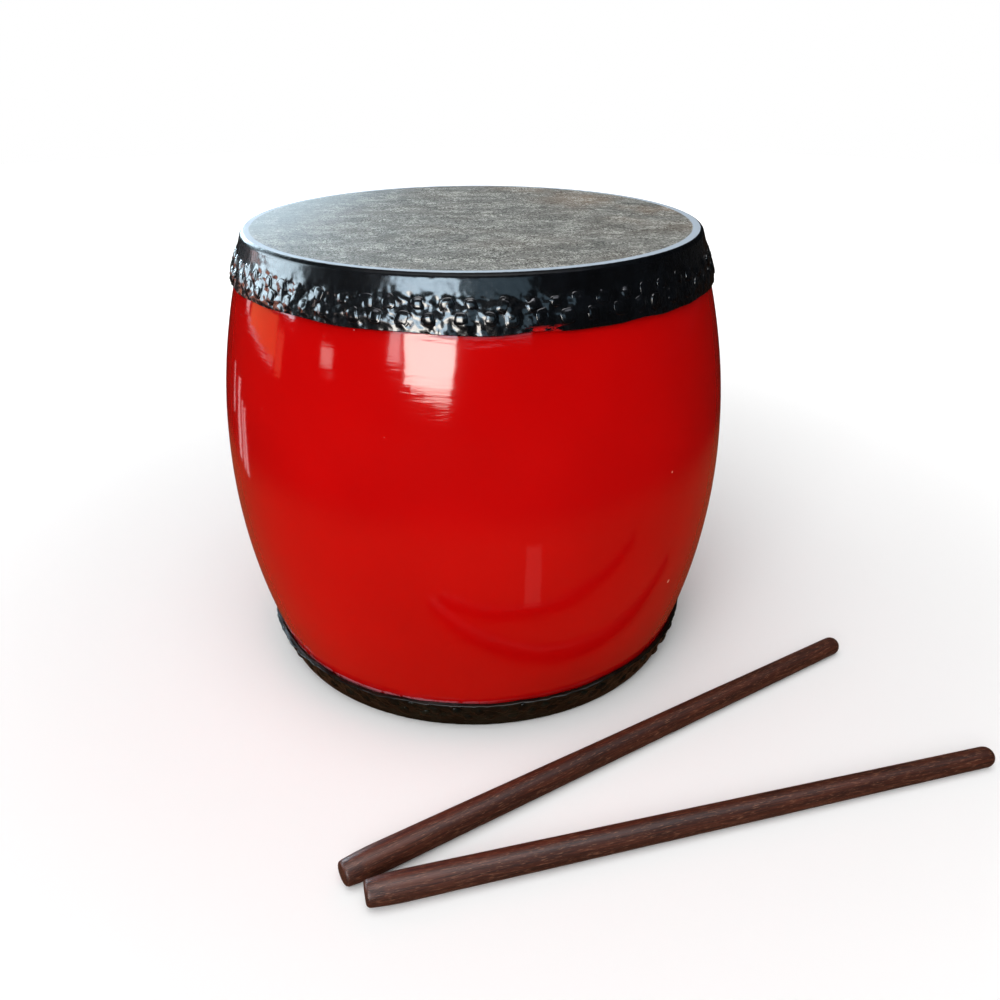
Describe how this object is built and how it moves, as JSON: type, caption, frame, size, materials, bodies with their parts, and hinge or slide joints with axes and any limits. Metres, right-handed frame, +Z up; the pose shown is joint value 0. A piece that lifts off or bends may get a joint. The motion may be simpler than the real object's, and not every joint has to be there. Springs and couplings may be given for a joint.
{
  "type": "barrel drum",
  "caption": "Barrel drum of glued wooden staves with a pegged hide head at each end, standing on its lower head, with its pair of tapered sticks lying beside it.",
  "frame": {"origin": "middle of the lower head's flat face, on the surface that the drum stands on", "axes": "+Z up along the drum's axis to the played head; the sticks lie in front, on the -Y side, butts towards -X"},
  "size_m": [0.5074, 0.474, 0.3044],
  "materials": {
    "red_lacquered_wood": "jackfruit wood, its outside under high gloss red lacquer and its peg heads under black paint",
    "hide": "satin grey-brown hide, its skirt under glossy black paint",
    "rosewood": "satin oiled"
  },
  "bodies": {
    "drum": {"pegged_stave_01": "red_lacquered_wood", "pegged_stave_02": "red_lacquered_wood", "pegged_stave_03": "red_lacquered_wood", "pegged_stave_04": "red_lacquered_wood", "pegged_stave_05": "red_lacquered_wood", "pegged_stave_06": "red_lacquered_wood", "pegged_stave_07": "red_lacquered_wood", "pegged_stave_08": "red_lacquered_wood", "pegged_stave_09": "red_lacquered_wood", "pegged_stave_10": "red_lacquered_wood", "pegged_stave_11": "red_lacquered_wood", "pegged_stave_12": "red_lacquered_wood", "pegged_stave_13": "red_lacquered_wood", "pegged_stave_14": "red_lacquered_wood", "pegged_stave_15": "red_lacquered_wood", "pegged_stave_16": "red_lacquered_wood", "pegged_stave_17": "red_lacquered_wood", "pegged_stave_18": "red_lacquered_wood", "pegged_stave_19": "red_lacquered_wood", "pegged_stave_20": "red_lacquered_wood", "pegged_stave_21": "red_lacquered_wood", "pegged_stave_22": "red_lacquered_wood", "top_head": "hide", "bottom_head": "hide"},
    "stick_back": {"stick_back": "rosewood"},
    "stick_front": {"stick_front": "rosewood"}
  },
  "joints": [
    {"name": "stick_back_lift", "type": "slide", "parent": "drum", "child": "stick_back", "axis": [0, 0, 1], "range_m": [0, 0.36]},
    {"name": "stick_front_lift", "type": "slide", "parent": "drum", "child": "stick_front", "axis": [0, 0, 1], "range_m": [0, 0.36]}
  ]
}
